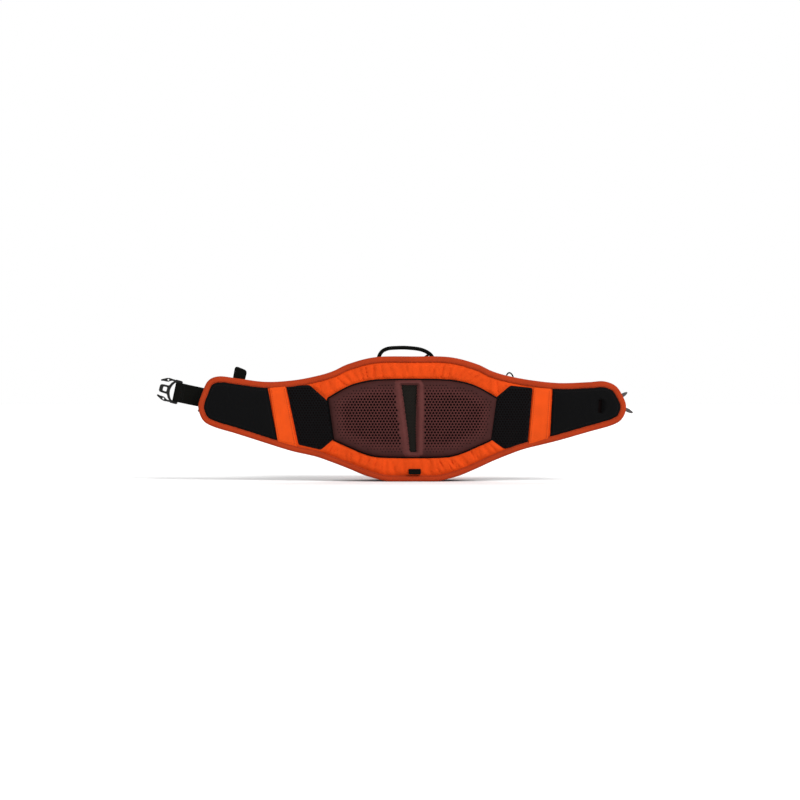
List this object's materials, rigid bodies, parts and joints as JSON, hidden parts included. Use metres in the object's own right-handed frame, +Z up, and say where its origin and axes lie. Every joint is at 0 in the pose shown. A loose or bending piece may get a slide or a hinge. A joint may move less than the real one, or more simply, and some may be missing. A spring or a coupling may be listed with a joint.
{
  "type": "lumbar hip pack",
  "caption": "Padded waist pack with folding hip wings, perforated lumbar pad, zipped bag and pockets, carry handle, webbing straps and a side-release buckle.",
  "frame": {"origin": "centre of the bag's flat base, on the surface it stands on", "axes": "+Z up as worn, +X to the right when facing the padded wearer side, -Y towards the wearer's back, +Y towards the bag"},
  "size_m": [0.7799, 0.1192, 0.2216],
  "materials": {
    "orange_fabric": "woven nylon face fabric",
    "binding_tape": "folded edge-binding tape",
    "perforated_foam": "perforated foam with a knit face",
    "black_mesh": "hexagonal spacer mesh",
    "black_fabric": "coated woven fabric",
    "webbing": "woven polyester webbing",
    "buckle_plastic": "moulded acetal",
    "grey_rubber": "moulded rubbery plastic"
  },
  "bodies": {
    "pack": {"back_panel": "orange_fabric", "binding_top": "binding_tape", "binding_base": "binding_tape", "lumbar_pad": "perforated_foam", "spine_channel": "black_mesh", "base_tab": "grey_rubber", "main_bag": "black_fabric", "back_pocket": "orange_fabric", "main_zip": "black_fabric", "pocket_zip": "black_fabric", "handle_anchor_left": "webbing", "handle_anchor_right": "webbing"},
    "left_wing": {"left_wing": "orange_fabric", "left_wing_binding": "binding_tape", "left_side_mesh": "black_mesh", "left_cross_band": "orange_fabric", "left_wing_pad": "black_fabric", "left_wing_pocket": "black_fabric", "left_upper_zip": "black_fabric", "left_lower_zip": "black_fabric", "left_keeper": "webbing", "left_adjuster": "buckle_plastic"},
    "right_wing": {"right_wing": "orange_fabric", "right_wing_binding": "binding_tape", "right_side_mesh": "black_mesh", "right_cross_band": "orange_fabric", "right_wing_pad": "black_fabric", "right_wing_pocket": "black_fabric", "right_upper_zip": "black_fabric", "right_lower_zip": "black_fabric", "right_strap_anchor": "webbing"},
    "left_strap": {"left_webbing": "webbing"},
    "male_buckle": {"male_buckle": "buckle_plastic"},
    "prong_upper": {"prong_upper": "buckle_plastic"},
    "prong_lower": {"prong_lower": "buckle_plastic"},
    "right_strap": {"right_webbing": "webbing"},
    "female_buckle": {"female_buckle": "buckle_plastic"},
    "carry_handle": {"carry_handle": "webbing"},
    "top_tab": {"top_tab": "black_fabric"},
    "cord_loop": {"cord_loop": "black_fabric"},
    "main_slider_left": {"main_slider_left": "grey_rubber"},
    "main_slider_right": {"main_slider_right": "grey_rubber"},
    "main_pull_left": {"main_pull_left": "grey_rubber"},
    "main_pull_right": {"main_pull_right": "grey_rubber"},
    "pocket_slider": {"pocket_slider": "grey_rubber"},
    "pocket_pull": {"pocket_pull": "grey_rubber"},
    "right_upper_slider": {"right_upper_slider": "grey_rubber"},
    "right_upper_pull": {"right_upper_pull": "grey_rubber"},
    "right_lower_slider": {"right_lower_slider": "grey_rubber"},
    "right_lower_pull": {"right_lower_pull": "grey_rubber"},
    "left_lower_slider": {"left_lower_slider": "grey_rubber"},
    "left_lower_pull": {"left_lower_pull": "grey_rubber"}
  },
  "joints": [
    {"name": "left_wing_fold", "type": "hinge", "parent": "pack", "child": "left_wing", "pos_m": [-0.15, -0.05, 0.1], "axis": [0, 0, 1], "range_deg": [0, 80]},
    {"name": "right_wing_fold", "type": "hinge", "parent": "pack", "child": "right_wing", "pos_m": [0.15, -0.05, 0.1], "axis": [0, 0, -1], "range_deg": [0, 80]},
    {"name": "left_strap_slide", "type": "slide", "parent": "left_wing", "child": "left_strap", "axis": [-0.9781, 0, 0.2079], "range_m": [0, 0.055]},
    {"name": "male_buckle_swivel", "type": "hinge", "parent": "left_strap", "child": "male_buckle", "pos_m": [-0.39, -0.0073, 0.146], "axis": [0.2588, 0, 0.9659], "range_deg": [-35, 35]},
    {"name": "prong_upper_flex", "type": "hinge", "parent": "male_buckle", "child": "prong_upper", "pos_m": [-0.3919, -0.0073, 0.16556], "axis": [0, -1, 0], "range_deg": [0, 8], "stiffness_Nm_per_rad": 0.3},
    {"name": "prong_lower_flex", "type": "hinge", "parent": "male_buckle", "child": "prong_lower", "pos_m": [-0.40143, -0.0073, 0.13001], "axis": [0, 1, 0], "range_deg": [0, 8], "stiffness_Nm_per_rad": 0.3},
    {"name": "right_strap_swing", "type": "hinge", "parent": "right_wing", "child": "right_strap", "pos_m": [0.326, -0.0112, 0.132], "axis": [0.2079, 0, -0.9781], "range_deg": [0, 170]},
    {"name": "female_buckle_swivel", "type": "hinge", "parent": "right_strap", "child": "female_buckle", "pos_m": [0.24384, -0.0062, 0.11453], "axis": [0.2079, 0, -0.9781], "range_deg": [0, 60]},
    {"name": "handle_flop", "type": "hinge", "parent": "pack", "child": "carry_handle", "pos_m": [-0.0115, -0.027, 0.204], "axis": [-1, 0, 0], "range_deg": [0, 80], "stiffness_Nm_per_rad": 0.02},
    {"name": "top_tab_flop", "type": "hinge", "parent": "left_wing", "child": "top_tab", "pos_m": [-0.28875, -0.0345, 0.1495], "axis": [-0.9839, 0, 0.1789], "range_deg": [0, 70], "stiffness_Nm_per_rad": 0.01},
    {"name": "cord_loop_flop", "type": "hinge", "parent": "right_wing", "child": "cord_loop", "pos_m": [0.159, -0.034, 0.16], "axis": [-1, 0, 0], "range_deg": [0, 70], "stiffness_Nm_per_rad": 0.002},
    {"name": "main_left_slide", "type": "slide", "parent": "pack", "child": "main_slider_left", "axis": [-1, 0, 0], "range_m": [0, 0.085]},
    {"name": "main_right_slide", "type": "slide", "parent": "pack", "child": "main_slider_right", "axis": [1, 0, 0], "range_m": [0, 0.085]},
    {"name": "main_left_pull", "type": "hinge", "parent": "main_slider_left", "child": "main_pull_left", "pos_m": [-0.008, 0.042, 0.1645], "axis": [1, 0, 0], "range_deg": [0, 90]},
    {"name": "main_right_pull", "type": "hinge", "parent": "main_slider_right", "child": "main_pull_right", "pos_m": [0.008, 0.042, 0.1645], "axis": [1, 0, 0], "range_deg": [0, 90]},
    {"name": "pocket_slide", "type": "slide", "parent": "pack", "child": "pocket_slider", "axis": [1, 0, 0], "range_m": [0, 0.12]},
    {"name": "pocket_pull_lift", "type": "hinge", "parent": "pocket_slider", "child": "pocket_pull", "pos_m": [-0.06, 0.06, 0.1165], "axis": [1, 0, 0], "range_deg": [0, 90]},
    {"name": "right_upper_slide", "type": "slide", "parent": "right_wing", "child": "right_upper_slider", "axis": [-0.9885, 0, 0.1509], "range_m": [0, 0.11]},
    {"name": "right_upper_pull", "type": "hinge", "parent": "right_upper_slider", "child": "right_upper_pull", "pos_m": [0.33253, -0.0255, 0.13767], "axis": [0, -1, 0], "range_deg": [0, 70]},
    {"name": "right_lower_slide", "type": "slide", "parent": "right_wing", "child": "right_lower_slider", "axis": [-0.9498, 0, -0.3128], "range_m": [0, 0.11]},
    {"name": "right_lower_pull", "type": "hinge", "parent": "right_lower_slider", "child": "right_lower_pull", "pos_m": [0.33327, -0.0255, 0.11481], "axis": [0, 1, 0], "range_deg": [0, 70]},
    {"name": "left_lower_slide", "type": "slide", "parent": "left_wing", "child": "left_lower_slider", "axis": [0.9498, 0, -0.3128], "range_m": [0, 0.11]},
    {"name": "left_lower_pull", "type": "hinge", "parent": "left_lower_slider", "child": "left_lower_pull", "pos_m": [-0.33327, -0.0255, 0.11481], "axis": [0, -1, 0], "range_deg": [0, 70]}
  ]
}
